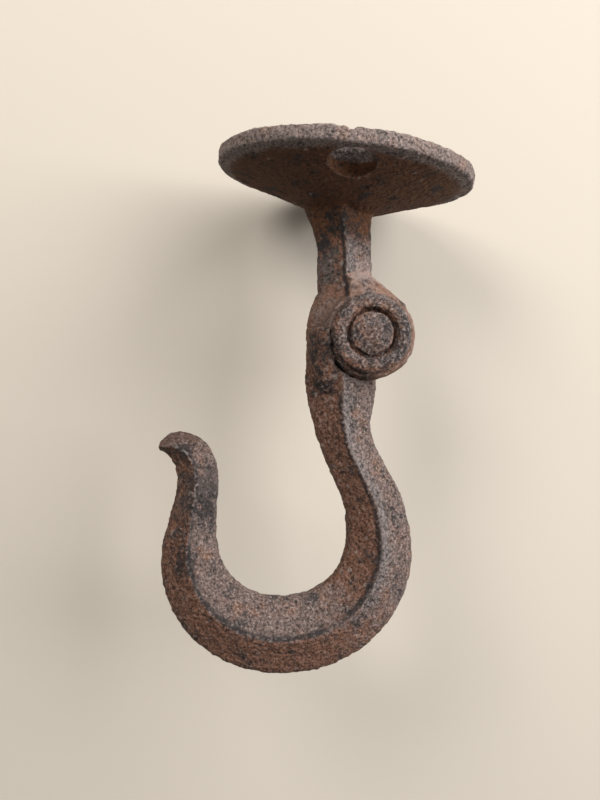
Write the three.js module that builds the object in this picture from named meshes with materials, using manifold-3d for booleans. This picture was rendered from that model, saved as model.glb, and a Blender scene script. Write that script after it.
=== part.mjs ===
// Swivelling cast-iron ceiling hook: a round conical plate with a short stem and a forked knuckle,
// and a J-shaped hook riveted between the fork's ears.
//
// Units are millimetres, +Z is up. The origin is the centre of the plate's flat mounting face, the
// plate's axis is Z, and everything hangs below it. The hook lies in the XZ plane and opens to -X.
//
// The stem and the hook are described in the "stem plane": u to the right and v upward, measured
// from the hinge pin, with depth along Y. One turn about Y then leans them from the plate's axis.
import * as THREE from "three";
import { mergeVertices } from "three/addons/utils/BufferGeometryUtils.js";
import Module from "manifold-3d";

// ---- plate -------------------------------------------------------------------------------------
const PLATE_DIAMETER = 60;
const PLATE_RIM_THICKNESS = 3.6;
const PLATE_EDGE_CHAMFER = 0.7;
const PLATE_CONE_START_RADIUS = PLATE_DIAMETER / 2 - 1.5;
const PLATE_CONE_SLOPE_DEG = 20;
const PLATE_CONE_END_RADIUS = 7;
const SCREW_EDGE_DISTANCE = 7.5;
const SCREW_HOLE_DIAMETER = 6.4;
const COUNTERSINK_DIAMETER = 10;
const COUNTERSINK_START_DEPTH = 2.2;
const COUNTERSINK_END_DEPTH = 4.2;

// ---- stem --------------------------------------------------------------------------------------
const STEM_LEAN_DEG = 5.6;
const PIN_DROP = 40.2;
const PIN_OFFSET = 5.2;
const STEM_HALF_WIDTH = 6.5;
const STEM_HALF_DEPTH = 6;
const STEM_OFFSET = -5.5;
const BUTT_HEIGHT = 1.7;

// ---- knuckle -----------------------------------------------------------------------------------
const CLEARANCE = 0.3;
const TONGUE_THICKNESS = 6;
const TONGUE_RADIUS = 9.6;
const EAR_RADIUS = 10.5;
const EAR_TAPER = 0.6;
const EAR_THICKNESS = 4;
const EAR_TAPER_HEIGHT = 2.2;
const PIN_DIAMETER = 6;
const RIVET_HEAD_DIAMETER = 9.8;
const RIVET_HEAD_DOME = 0.3;
const CUP_DIAMETER = 18;
const CUP_THICKNESS = 2.8;
const CUP_RECESS_CLEARANCE = 0.6;
const CUP_RECESS_DEPTH = 1.7;
const CUP_EDGE_CHAMFER = 0.6;

// ---- hook --------------------------------------------------------------------------------------
const SHANK_HALF_DEPTH = 6;
const SHOULDER_HALF_WIDTH = 8.4;
const SHOULDER_OFFSET = -6.3;
const SHOULDER_LENGTH = 13.3;
const BEND_CENTRE_U = -19.3;
const BEND_CENTRE_V = -47.8;
const BEND_RADIUS = 22.3;
const BEND_HALF_WIDTH = 7;
const BEND_HALF_DEPTH = 6.4;
const ARM_HALF_WIDTH = 4.9;
const TIP_HALF_DEPTH = 5.2;

// Where things sit along the pin, all measured from the hook's middle plane.
const TONGUE_FACE = TONGUE_THICKNESS / 2;
const EAR_INNER_FACE = TONGUE_FACE + CLEARANCE;
const EAR_OUTER_FACE = EAR_INNER_FACE + EAR_THICKNESS;
const CUP_BACK = EAR_OUTER_FACE + CLEARANCE;
const CUP_FRONT = CUP_BACK + CUP_THICKNESS;
const HEAD_SEAT = CUP_FRONT - CUP_RECESS_DEPTH + CLEARANCE;
const PIN_RADIUS = PIN_DIAMETER / 2;
const BORE_RADIUS = PIN_RADIUS + CLEARANCE;
const BUTT_RELIEF_RADIUS = EAR_RADIUS + CLEARANCE;
const SCREW_CIRCLE_RADIUS = PLATE_DIAMETER / 2 - SCREW_EDGE_DISTANCE;

const ROUND_SEGMENTS = 72;
const SMALL_SEGMENTS = 40;
const BAR_STEPS_PER_ROW = 3;

// ---- joining and cutting -----------------------------------------------------------------------
const wasm = await Module();
wasm.setup();

/** Turn a closed three.js geometry into a solid that can be joined and cut. */
function solidFrom(geometry) {
  const bare = geometry.clone();
  bare.deleteAttribute("normal");
  bare.deleteAttribute("uv");
  const merged = mergeVertices(bare, 1e-4);
  const mesh = new wasm.Mesh({
    numProp: 3,
    vertProperties: new Float32Array(merged.attributes.position.array),
    triVerts: new Uint32Array(merged.index.array),
  });
  return new wasm.Manifold(mesh);
}

/** Turn a solid back into a three.js geometry. */
function geometryFrom(solid) {
  const mesh = solid.getMesh();
  const geometry = new THREE.BufferGeometry();
  geometry.setAttribute("position", new THREE.BufferAttribute(mesh.vertProperties, 3));
  geometry.setIndex(new THREE.BufferAttribute(mesh.triVerts, 1));
  geometry.computeVertexNormals();
  return geometry;
}

// ---- shapes ------------------------------------------------------------------------------------
/** A solid of revolution about Z from [radius, z] pairs. */
function turnedAboutZ(profile, segments) {
  const points = profile.map(([radius, z]) => new THREE.Vector2(radius, z));
  const geometry = new THREE.LatheGeometry(points, segments);
  geometry.rotateX(Math.PI / 2);
  return geometry;
}

/** A solid of revolution about the pin (the Y axis) from [radius, y] pairs. */
function turnedAboutPin(profile, segments) {
  const points = profile.map(([radius, y]) => new THREE.Vector2(radius, y));
  return new THREE.LatheGeometry(points, segments);
}

/** A plain cylinder along the pin, between two depths. */
function pinCylinder(radius, from, to, segments) {
  return turnedAboutPin([[0, from], [radius, from], [radius, to], [0, to]], segments);
}

/** One quarter of the bar's section, as [share of half width, share of half depth]. */
const SECTION_QUARTER = [[1, 0], [0.96, 0.28], [0.8, 0.5], [0.12, 1]];

/** The bar's full section: two ridges, four facets and rounded sides, once round. */
function barSection() {
  const upperRight = SECTION_QUARTER;
  const upperLeft = SECTION_QUARTER.slice().reverse().map(([w, d]) => [-w, d]);
  const lowerLeft = SECTION_QUARTER.slice(1).map(([w, d]) => [-w, -d]);
  const lowerRight = SECTION_QUARTER.slice(1).reverse().map(([w, d]) => [w, -d]);
  return [...upperRight, ...upperLeft, ...lowerLeft, ...lowerRight];
}

/** A bar swept through rows of [u, v, half width, half depth], with flat ends. */
function sweptBar(rows) {
  const path = new THREE.CatmullRomCurve3(rows.map(([u, v]) => new THREE.Vector3(u, 0, v)));
  const sizes = new THREE.CatmullRomCurve3(rows.map(([, , w, d]) => new THREE.Vector3(w, d, 0)));
  const section = barSection();
  const count = section.length;
  const steps = (rows.length - 1) * BAR_STEPS_PER_ROW;
  const positions = [];
  const centres = [];
  for (let step = 0; step <= steps; step += 1) {
    const centre = path.getPoint(step / steps);
    const size = sizes.getPoint(step / steps);
    const along = path.getTangent(step / steps);
    const across = new THREE.Vector3(-along.z, 0, along.x);
    centres.push(centre);
    for (const [w, d] of section) {
      const point = centre.clone().addScaledVector(across, w * size.x);
      positions.push(point.x, d * size.y, point.z);
    }
  }
  const indices = [];
  for (let step = 0; step < steps; step += 1) {
    for (let i = 0; i < count; i += 1) {
      const a = step * count + i;
      const b = step * count + ((i + 1) % count);
      indices.push(a, a + count, b, b, a + count, b + count);
    }
  }
  const ends = [[0, centres[0], false], [steps * count, centres[steps], true]];
  for (const [start, centre, last] of ends) {
    const hub = positions.length / 3;
    positions.push(centre.x, centre.y, centre.z);
    for (let i = 0; i < count; i += 1) {
      const a = start + i;
      const b = start + ((i + 1) % count);
      indices.push(hub, last ? b : a, last ? a : b);
    }
  }
  const geometry = new THREE.BufferGeometry();
  geometry.setAttribute("position", new THREE.Float32BufferAttribute(positions, 3));
  geometry.setIndex(indices);
  return geometry;
}

/** The pin's place in the object's frame, once the stem leans. */
function pinPlace() {
  const lean = THREE.MathUtils.degToRad(STEM_LEAN_DEG);
  const x = PIN_OFFSET * Math.cos(lean) + PIN_DROP * Math.sin(lean);
  const z = PIN_OFFSET * Math.sin(lean) - PIN_DROP * Math.cos(lean);
  return [x, 0, z];
}

/** Move a geometry from the stem plane to the object's frame. */
function leaned(geometry) {
  const lean = THREE.MathUtils.degToRad(STEM_LEAN_DEG);
  geometry.rotateY(-lean);
  geometry.translate(...pinPlace());
  return geometry;
}

// ---- the plate and its stem ------------------------------------------------------------------
/** The round plate: a flat mounting face, a rim and a shallow cone toward the stem. */
function plateSolid() {
  const outer = PLATE_DIAMETER / 2;
  const chamfer = PLATE_EDGE_CHAMFER;
  const slope = Math.tan(THREE.MathUtils.degToRad(PLATE_CONE_SLOPE_DEG));
  const coneRise = (PLATE_CONE_START_RADIUS - PLATE_CONE_END_RADIUS) * slope;
  const profile = [
    [0, -PLATE_RIM_THICKNESS - coneRise],
    [PLATE_CONE_END_RADIUS, -PLATE_RIM_THICKNESS - coneRise],
    [PLATE_CONE_START_RADIUS, -PLATE_RIM_THICKNESS],
    [outer - chamfer, -PLATE_RIM_THICKNESS],
    [outer, -PLATE_RIM_THICKNESS + chamfer],
    [outer, -chamfer],
    [outer - chamfer, 0],
    [0, 0],
  ];
  return solidFrom(turnedAboutZ(profile, ROUND_SEGMENTS));
}

/** One screw hole, open at both faces and countersunk from the stem's side. */
function screwHoleSolid(side) {
  const through = SCREW_HOLE_DIAMETER / 2;
  const mouth = COUNTERSINK_DIAMETER / 2;
  const beyond = PLATE_DIAMETER / 4;
  const profile = [
    [0, -beyond],
    [mouth, -beyond],
    [mouth, -COUNTERSINK_END_DEPTH],
    [through, -COUNTERSINK_START_DEPTH],
    [through, beyond],
    [0, beyond],
  ];
  const hole = turnedAboutZ(profile, SMALL_SEGMENTS);
  hole.translate(0, side * SCREW_CIRCLE_RADIUS, 0);
  return solidFrom(hole);
}

/** Where the stem's bar starts, inside the plate, and where its root ends, above the pin. */
const STEM_TOP = PIN_DROP - 7;
const ROOT_END = PIN_DROP - 18;

/** A height on the stem below its root: 0 at the face that stops the hook, 1 at the root's end. */
function stemHeight(share) {
  return THREE.MathUtils.lerp(BUTT_HEIGHT, ROOT_END, share);
}

/** The stem's bar, from inside the plate's cone down to the face that stops the hook. */
function stemBarSolid() {
  const side = STEM_OFFSET;
  const width = STEM_HALF_WIDTH;
  const depth = STEM_HALF_DEPTH;
  const rows = [
    [side - 1.0, STEM_TOP, width + 3.4, depth + 3.6],
    [side - 1.0, ROOT_END + 6.9, width + 1.9, depth + 1.9],
    [side - 0.8, ROOT_END + 4, width + 0.7, depth + 0.6],
    [side - 0.3, ROOT_END, width + 0.1, depth],
    [side - 0.1, stemHeight(0.73), width, depth],
    [side, stemHeight(0.54), width + 0.2, depth],
    [side + 0.7, stemHeight(0.39), width + 1.1, depth + 0.1],
    [side + 0.2, stemHeight(0.2), width + 1.5, depth + 0.4],
    [SHOULDER_OFFSET, stemHeight(0.08), SHOULDER_HALF_WIDTH - 0.4, depth + 0.4],
    [SHOULDER_OFFSET, BUTT_HEIGHT, SHOULDER_HALF_WIDTH, depth + 0.4],
  ];
  return solidFrom(leaned(sweptBar(rows)));
}

/** One ear of the fork, on the front (-1) or the back (+1) of the tongue. */
function earSolid(side) {
  const taperStart = EAR_OUTER_FACE - EAR_TAPER_HEIGHT;
  const profile = [
    [0, EAR_INNER_FACE],
    [EAR_RADIUS, EAR_INNER_FACE],
    [EAR_RADIUS, taperStart],
    [EAR_RADIUS - EAR_TAPER, EAR_OUTER_FACE],
    [0, EAR_OUTER_FACE],
  ];
  const ear = turnedAboutPin(profile, ROUND_SEGMENTS);
  if (side < 0) {
    ear.rotateX(Math.PI);
  }
  return solidFrom(leaned(ear));
}

/** A plain cylinder about the pin, as a solid in the object's frame. */
function pinCylinderSolid(radius, from, to) {
  return solidFrom(leaned(pinCylinder(radius, from, to, ROUND_SEGMENTS)));
}

/** The plate, the stem and the fork: one casting. */
function mountCasting() {
  const slotRadius = TONGUE_RADIUS + CLEARANCE;
  const seatRadius = CUP_DIAMETER / 2 + CLEARANCE;
  let casting = plateSolid().add(stemBarSolid());
  for (const side of [-1, 1]) {
    casting = casting.add(earSolid(side));
  }
  casting = casting.subtract(pinCylinderSolid(slotRadius, -EAR_INNER_FACE, EAR_INNER_FACE));
  casting = casting.subtract(pinCylinderSolid(BORE_RADIUS, -CUP_FRONT, CUP_FRONT));
  casting = casting.subtract(pinCylinderSolid(seatRadius, EAR_OUTER_FACE, CUP_FRONT));
  casting = casting.subtract(pinCylinderSolid(seatRadius, -CUP_FRONT, -EAR_OUTER_FACE));
  for (const side of [-1, 1]) {
    casting = casting.subtract(screwHoleSolid(side));
  }
  return geometryFrom(casting);
}

// ---- the hook ----------------------------------------------------------------------------------
/** How the bend thickens: [degrees round from +u, extra radius, extra half width]. */
const BEND_SWELL = [
  [-10, 0, 1.2],
  [-37, 0.3, 1.8],
  [-63, 0.3, 2.2],
  [-90, 0.3, 2.2],
  [-116, 0.9, 2],
  [-143, 1.1, 1.3],
  [-169, 0.4, 0],
];

/** A point on the bend's middle line, by its angle round from +u. */
function bendPoint(degrees, radius) {
  const angle = THREE.MathUtils.degToRad(degrees);
  return [BEND_CENTRE_U + radius * Math.cos(angle), BEND_CENTRE_V + radius * Math.sin(angle)];
}

/** Rows of the hook's round bend, from the shank's side to the arm's side. */
function bendRows() {
  return BEND_SWELL.map(([degrees, extraRadius, extraWidth]) => [
    ...bendPoint(degrees, BEND_RADIUS + extraRadius),
    BEND_HALF_WIDTH + extraWidth,
    BEND_HALF_DEPTH,
  ]);
}

/** How the shank crosses from the shoulder to the bend: [share across, share down, half width]. */
const SHANK_PATH = [
  [0, 0, 8.3],
  [0.045, 0.22, 6.9],
  [0.235, 0.405, 6.2],
  [0.6, 0.61, 6.5],
  [0.9, 0.8, 7.2],
];

/** Rows of the hook's shank, between its shoulder and its bend. */
function shankRows() {
  const [bendStart] = bendPoint(BEND_SWELL[0][0], BEND_RADIUS);
  return SHANK_PATH.map(([across, down, halfWidth]) => [
    THREE.MathUtils.lerp(SHOULDER_OFFSET, bendStart, across),
    THREE.MathUtils.lerp(-SHOULDER_LENGTH, BEND_CENTRE_V, down),
    halfWidth,
    SHANK_HALF_DEPTH,
  ]);
}

/** The hook's bar from its shoulder, round the bend and up to the flared tip. */
function hookBarSolid() {
  const depth = SHANK_HALF_DEPTH;
  const arm = BEND_CENTRE_U - BEND_RADIUS;
  const rows = [
    [SHOULDER_OFFSET, BUTT_HEIGHT - CLEARANCE, SHOULDER_HALF_WIDTH, depth + 0.4],
    [SHOULDER_OFFSET, -SHOULDER_LENGTH / 2, SHOULDER_HALF_WIDTH, depth + 0.3],
    ...shankRows(),
    ...bendRows(),
    [arm + 1.0, BEND_CENTRE_V + 6.5, ARM_HALF_WIDTH + 0.4, BEND_HALF_DEPTH - 0.3],
    [arm + 1.8, BEND_CENTRE_V + 13.5, ARM_HALF_WIDTH, BEND_HALF_DEPTH - 0.7],
    [arm + 0.5, BEND_CENTRE_V + 19.2, ARM_HALF_WIDTH - 0.1, TIP_HALF_DEPTH],
    [arm - 3.2, BEND_CENTRE_V + 21.9, ARM_HALF_WIDTH - 1.2, TIP_HALF_DEPTH],
    [arm - 6.7, BEND_CENTRE_V + 22.1, ARM_HALF_WIDTH - 2.6, TIP_HALF_DEPTH - 0.7],
  ];
  return solidFrom(leaned(sweptBar(rows)));
}

/** The hook with its tongue: one casting. */
function hookCasting() {
  let hook = hookBarSolid();
  hook = hook.subtract(pinCylinderSolid(BUTT_RELIEF_RADIUS, TONGUE_FACE, CUP_FRONT));
  hook = hook.subtract(pinCylinderSolid(BUTT_RELIEF_RADIUS, -CUP_FRONT, -TONGUE_FACE));
  hook = hook.add(pinCylinderSolid(TONGUE_RADIUS, -TONGUE_FACE, TONGUE_FACE));
  hook = hook.subtract(pinCylinderSolid(BORE_RADIUS, -CUP_FRONT, CUP_FRONT));
  return geometryFrom(hook);
}

// ---- the rivet and its cups ----------------------------------------------------------------------
/** The hinge rivet: a plain pin with a low round head formed at each end. */
function rivetGeometry() {
  const head = RIVET_HEAD_DIAMETER / 2;
  const half = [
    [PIN_RADIUS, HEAD_SEAT],
    [head, HEAD_SEAT],
    [head, CUP_FRONT - 0.3],
    [head * 0.8, CUP_FRONT],
    [head * 0.4, CUP_FRONT + RIVET_HEAD_DOME * 0.8],
    [0, CUP_FRONT + RIVET_HEAD_DOME],
  ];
  const mirrored = half.slice().reverse().map(([radius, y]) => [radius, -y]);
  return leaned(turnedAboutPin([...mirrored, ...half], SMALL_SEGMENTS));
}

/** A cup washer: a thick ring with a recess that sinks the rivet's head. */
function cupGeometry(side) {
  const outer = CUP_DIAMETER / 2;
  const recess = RIVET_HEAD_DIAMETER / 2 + CUP_RECESS_CLEARANCE;
  const floor = CUP_FRONT - CUP_RECESS_DEPTH;
  const profile = [
    [BORE_RADIUS, CUP_BACK],
    [outer, CUP_BACK],
    [outer, CUP_FRONT - CUP_EDGE_CHAMFER],
    [outer - CUP_EDGE_CHAMFER, CUP_FRONT],
    [recess, CUP_FRONT],
    [recess, floor],
    [BORE_RADIUS, floor],
    [BORE_RADIUS, CUP_BACK],
  ];
  const cup = turnedAboutPin(profile, ROUND_SEGMENTS);
  if (side < 0) {
    cup.rotateX(Math.PI);
  }
  return leaned(cup);
}

// ---- the object ----------------------------------------------------------------------------------
const castIron = new THREE.MeshStandardMaterial({ color: 0x4a3831, roughness: 0.85, metalness: 0.4 });
const hookIron = new THREE.MeshStandardMaterial({ color: 0x4d4144, roughness: 0.8, metalness: 0.45 });
const cupIron = new THREE.MeshStandardMaterial({ color: 0x473d3d, roughness: 0.8, metalness: 0.45 });
const rivetIron = new THREE.MeshStandardMaterial({ color: 0x54443f, roughness: 0.75, metalness: 0.5 });

/** Make one named mesh and put it in the object. */
function place(object, name, geometry, material) {
  const mesh = new THREE.Mesh(geometry, material);
  mesh.name = name;
  object.add(mesh);
}

const hookRack = new THREE.Group();
place(hookRack, "plate_and_stem", mountCasting(), castIron);
place(hookRack, "hook", hookCasting(), hookIron);
place(hookRack, "rivet", rivetGeometry(), rivetIron);
place(hookRack, "cup_front", cupGeometry(-1), cupIron);
place(hookRack, "cup_back", cupGeometry(1), cupIron);

export default hookRack;
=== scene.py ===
"""A swivelling cast-iron ceiling hook: a round conical plate with a forked stem, and a J hook riveted
between the fork's ears.

Everything is in metres in the part's own frame: the plate's mounting face is at z = 0 and the hook
hangs below it. Sizes in the classes are in millimetres and are multiplied by MM where they are used.
"""

import logging
import math
from dataclasses import dataclass, field
from enum import Enum

import bmesh
import bpy
from mathutils import Euler, Matrix, Vector, kdtree


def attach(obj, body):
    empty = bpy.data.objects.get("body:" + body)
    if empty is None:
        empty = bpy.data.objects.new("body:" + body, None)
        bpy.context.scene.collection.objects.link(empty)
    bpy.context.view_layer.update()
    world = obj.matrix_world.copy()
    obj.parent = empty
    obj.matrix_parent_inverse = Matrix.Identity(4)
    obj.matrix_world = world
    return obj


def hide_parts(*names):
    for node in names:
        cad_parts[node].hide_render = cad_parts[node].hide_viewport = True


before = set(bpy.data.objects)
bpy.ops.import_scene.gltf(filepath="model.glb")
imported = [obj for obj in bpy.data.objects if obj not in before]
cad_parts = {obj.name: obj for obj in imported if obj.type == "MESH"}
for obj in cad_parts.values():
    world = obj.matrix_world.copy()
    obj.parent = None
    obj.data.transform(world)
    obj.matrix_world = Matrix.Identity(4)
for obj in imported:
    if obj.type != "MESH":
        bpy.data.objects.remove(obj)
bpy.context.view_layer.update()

MM = 0.001
TOUCHING = 1e-7
MOST, MANY, FEW = 128, 96, 64  # the sides of the plate, of other large round shapes and of small ones
RIDGE_MARK = "ridge"
NO_RIDGE = 2.0
LIT_FACING_MARK = "weather"
LIT_DIRECTION = Vector((0.62, -0.25, 0.74))  # facets facing this way are painted grey as lit; facets turned away are painted brown as shaded
log = logging.getLogger("ceiling_hook")

Colour = tuple[float, float, float, float]
Row = tuple[float, float, float, float]
Place = tuple[float, float, float]
Solid = bpy.types.Object
Socket = bpy.types.NodeSocket


class Body(Enum):
    """The moving bodies of the object."""

    MOUNT = "mount"
    HOOK = "hook"


class Side(Enum):
    """The two faces of the knuckle along the pin."""

    FRONT = -1
    BACK = 1


class Cut(Enum):
    """How one solid acts on another."""

    JOIN = "UNION"
    TAKE_AWAY = "DIFFERENCE"


# ---- bench work: small steps that every piece uses


def deselect_all() -> None:
    """Leave edit mode and deselect everything."""
    if bpy.context.object is not None and bpy.context.object.mode != "OBJECT":
        bpy.ops.object.mode_set(mode="OBJECT")
    bpy.ops.object.select_all(action="DESELECT")


def take(piece: Solid) -> None:
    """Select one piece alone and make it active."""
    deselect_all()
    piece.select_set(True)
    bpy.context.view_layer.objects.active = piece


def settle(piece: Solid) -> None:
    """Move a piece's place, turn and size into its mesh."""
    take(piece)
    bpy.ops.object.transform_apply(location=True, rotation=True, scale=True)


def apply_all(piece: Solid) -> None:
    """Apply every modifier on a piece, first to last."""
    take(piece)
    for modifier in list(piece.modifiers):
        bpy.ops.object.modifier_apply(modifier=modifier.name)


def combine(piece: Solid, tool: Solid, cut: Cut) -> None:
    """Join a tool solid to a piece, or take it away, and remove the tool.

    Args:
        piece: The piece that is changed.
        tool: The solid that acts on it.
        cut: Whether the tool is joined or taken away.
    """
    modifier = piece.modifiers.new("combine", "BOOLEAN")
    modifier.operation = cut.value
    modifier.solver = "MANIFOLD"
    modifier.object = tool
    apply_all(piece)
    bpy.data.objects.remove(tool, do_unlink=True)


def cylinder(radius: float, low: float, high: float, vertices: int = MANY) -> Solid:
    """Add a cylinder along Z between two heights.

    Args:
        radius: Its radius in millimetres.
        low: Its lower end in millimetres.
        high: Its upper end in millimetres.
        vertices: The number of sides.

    Returns:
        The new object.
    """
    deselect_all()
    bpy.ops.mesh.primitive_cylinder_add(
        vertices=vertices, radius=radius * MM, depth=(high - low) * MM,
        location=(0, 0, (high + low) / 2 * MM),
    )
    made = bpy.context.object
    settle(made)
    return made


def edit_whole(piece: Solid) -> None:
    """Go to edit mode with all of a piece's faces selected."""
    take(piece)
    bpy.ops.object.mode_set(mode="EDIT")
    bpy.ops.mesh.select_mode(type="FACE")
    bpy.ops.mesh.select_all(action="SELECT")


def close_solid() -> None:
    """Turn every face of the solid in edit mode outward and leave edit mode."""
    bpy.ops.mesh.select_all(action="SELECT")
    bpy.ops.mesh.normals_make_consistent(inside=False)
    bpy.ops.object.mode_set(mode="OBJECT")


def turned(steps: list[tuple[float, float]], vertices: int = MANY) -> Solid:
    """Make a solid about Z from a first disc and steps up from it.

    Args:
        steps: [radius, height] pairs in millimetres, from the lowest up.
        vertices: The number of sides.

    Returns:
        The new object.
    """
    radius, height = steps[0]
    deselect_all()
    bpy.ops.mesh.primitive_circle_add(
        vertices=vertices, radius=radius * MM, fill_type="NGON", location=(0, 0, height * MM)
    )
    made = bpy.context.object
    settle(made)
    edit_whole(made)
    for next_radius, next_height in steps[1:]:
        rise, share = (next_height - height) * MM, next_radius / radius
        bpy.ops.mesh.extrude_region_move(TRANSFORM_OT_translate={"value": (0, 0, rise)})
        bpy.ops.transform.resize(value=(share, share, 1), center_override=(0, 0, next_height * MM))
        radius, height = next_radius, next_height
    bpy.ops.mesh.select_all(action="SELECT")
    bpy.ops.mesh.remove_doubles(threshold=TOUCHING)
    close_solid()
    return made


def drawn_face(corners: list[Place]) -> Solid:
    """Make one flat face and leave it selected in edit mode.

    Args:
        corners: Its corners, in order, in millimetres.

    Returns:
        The new object.
    """
    deselect_all()
    bpy.ops.mesh.primitive_circle_add(vertices=len(corners), radius=MM, fill_type="NGON")
    made = bpy.context.object
    edit_whole(made)
    mesh = bmesh.from_edit_mesh(made.data)
    for vertex, corner in zip(mesh.verts, corners):
        vertex.co = Vector(corner) * MM
    bmesh.update_edit_mesh(made.data)
    return made


def smooth_rows(rows: list[Row], steps: int) -> list[Row]:
    """Put extra rows between the given ones, on a smooth curve through them all.

    Args:
        rows: The [u, v, half width, half depth] rows of a bar.
        steps: The number of pieces each gap is cut into.

    Returns:
        The longer list of rows, ends included.
    """
    padded = [rows[0], *rows, rows[-1]]
    result: list[Row] = []
    for index in range(1, len(rows)):
        before, start, end, after = padded[index - 1 : index + 3]
        for step in range(steps):
            t = step / steps
            row = tuple(
                0.5 * (2 * b + (c - a) * t + (2 * a - 5 * b + 4 * c - d) * t**2
                       + (3 * b - a - 3 * c + d) * t**3)
                for a, b, c, d in zip(before, start, end, after)
            )
            result.append(row)
    result.append(rows[-1])
    return result


@dataclass(frozen=True)
class BarSection:
    """The cast bar's section: a ridge front and back, four facets and rounded sides."""

    quarter: tuple[tuple[float, float], ...] = (
        (1.0, 0.0), (0.98, 0.18), (0.92, 0.34), (0.82, 0.45), (0.56, 0.63), (0.3, 0.82), (0.04, 1.0),
    )

    def outline(self) -> list[tuple[float, float]]:
        """Return the whole outline once round, as shares of half width and half depth."""
        first = list(self.quarter)
        second = [(-w, d) for w, d in reversed(first)]
        third = [(-w, -d) for w, d in first[1:]]
        fourth = [(w, -d) for w, d in reversed(first[1:])]
        return first + second + third + fourth


def swept_bar(rows: list[Row], section: BarSection, steps: int = 4) -> Solid:
    """Sweep the bar's section along rows, one extruded ring after another.

    Args:
        rows: The [u, v, half width, half depth] rows, in millimetres in the stem plane.
        section: The outline that is swept.
        steps: The number of rings for each gap between rows.

    Returns:
        The closed bar, in the stem plane.
    """
    stations = smooth_rows(rows, steps)
    u, v, wide, deep = stations[0]
    bar = drawn_face([(u + across * wide, depth * deep, v) for across, depth in section.outline()])
    turn = 0.0
    for index in range(1, len(stations)):
        u0, v0, wide0, deep0 = stations[index - 1]
        u, v, wide, deep = stations[index]
        after = stations[min(index + 1, len(stations) - 1)]
        heading = math.atan2(after[0] - u0, v0 - after[1])
        centre = Vector((u, 0, v)) * MM
        bpy.ops.mesh.extrude_region_move(
            TRANSFORM_OT_translate={"value": (Vector((u - u0, 0, v - v0)) * MM)}
        )
        bpy.ops.transform.rotate(value=-turn, orient_axis="Y", center_override=centre)
        bpy.ops.transform.resize(value=(wide / wide0, deep / deep0, 1), center_override=centre)
        bpy.ops.transform.rotate(value=heading, orient_axis="Y", center_override=centre)
        turn = heading
    close_solid()
    return bar


def mark_points(piece: Solid, name: str, values: list[float]) -> None:
    """Store one number for each point of a piece, for its finish to read.

    Args:
        piece: The casting, before its grain is pressed in.
        name: The mark's name.
        values: The numbers, in the order of the points.
    """
    layer = piece.data.attributes.new(name, "FLOAT", "POINT")
    layer.data.foreach_set("value", values)


@dataclass
class BarGuide:
    """The middle line of a bar, used to mark where its ridges run on the finished skin."""

    rows: list[Row]
    plane: "StemPlane"
    buried: int = 0
    steps: int = 8
    reach: float = 1.3

    def mark(self, piece: Solid) -> None:
        """Store how far each point lies across the bar: 0 on a ridge, 1 at the outer side.

        Args:
            piece: The casting that holds the bar, in the part's frame.
        """
        stations = smooth_rows(self.rows, self.steps)
        to_plane = self.plane.matrix().inverted()
        tree = kdtree.KDTree(len(stations))
        for index, (u, v, _wide, _deep) in enumerate(stations):
            tree.insert(Vector((u, 0, v)) * MM, index)
        tree.balance()
        values = []
        for vertex in piece.data.vertices:
            place = to_plane @ vertex.co
            place.y = 0
            _near, index, distance = tree.find(place)
            values.append(self.across(stations, index, place, distance))
        mark_points(piece, RIDGE_MARK, values)

    def across(self, stations: list[Row], index: int, place: Vector, distance: float) -> float:
        """Return one point's share across the bar.

        Args:
            stations: The middle line's rows.
            index: The nearest row.
            place: The point in the stem plane, in metres.
            distance: Its distance from that row, in metres.

        Returns:
            -1 at the inner side, 0 on the ridges, 1 at the outer side, NO_RIDGE away from the bar.
        """
        u, v, wide, _deep = stations[index]
        before = stations[max(index - 1, 0)]
        after = stations[min(index + 1, len(stations) - 1)]
        along = Vector((after[0] - before[0], 0, after[1] - before[1])).normalized()
        offset = place / MM - Vector((u, 0, v))
        if distance > wide * self.reach * MM or index < self.buried * self.steps:
            return NO_RIDGE
        return (-along.z * offset.x + along.x * offset.z) / wide


def smoothed_casting(piece: Solid, voxel: float, rounds: int) -> None:
    """Turn a sharp solid into the soft-edged skin of a sand casting.

    Args:
        piece: The closed solid.
        voxel: The size of the new faces, in millimetres.
        rounds: How many times the edges are eased.
    """
    skin = piece.modifiers.new("skin", "REMESH")
    skin.mode = "VOXEL"
    skin.voxel_size = voxel * MM
    ease = piece.modifiers.new("ease", "SMOOTH")
    ease.factor = 0.5
    ease.iterations = rounds
    apply_all(piece)


@dataclass(frozen=True)
class SandSkin:
    """How uneven a casting's skin is, from slow waves to coarse grain, in millimetres."""

    wave_size: float = 9.0
    wave_depth: float = 0.36
    lump_size: float = 2.2
    lump_depth: float = 0.38
    grain_size: float = 0.8
    grain_depth: float = 0.45
    contrast: float = 1.3
    level: float = 0.62

    def press_into(self, piece: Solid) -> None:
        """Push the skin in and out by the three sizes of unevenness, mostly inward."""
        sizes = (
            ("wave", self.wave_size, self.wave_depth),
            ("lump", self.lump_size, self.lump_depth),
            ("grain", self.grain_size, self.grain_depth),
        )
        for name, size, depth in sizes:
            pattern = bpy.data.textures.new(f"{piece.name}_{name}", "CLOUDS")
            pattern.noise_scale = size * MM
            pattern.noise_depth = 2
            pattern.contrast = self.contrast
            push = piece.modifiers.new(name, "DISPLACE")
            push.texture = pattern
            push.texture_coords = "LOCAL"
            push.direction = "NORMAL"
            push.mid_level = self.level
            push.strength = depth * MM
        apply_all(piece)
        take(piece)
        bpy.ops.object.shade_smooth()


# ---- finishes


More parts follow.
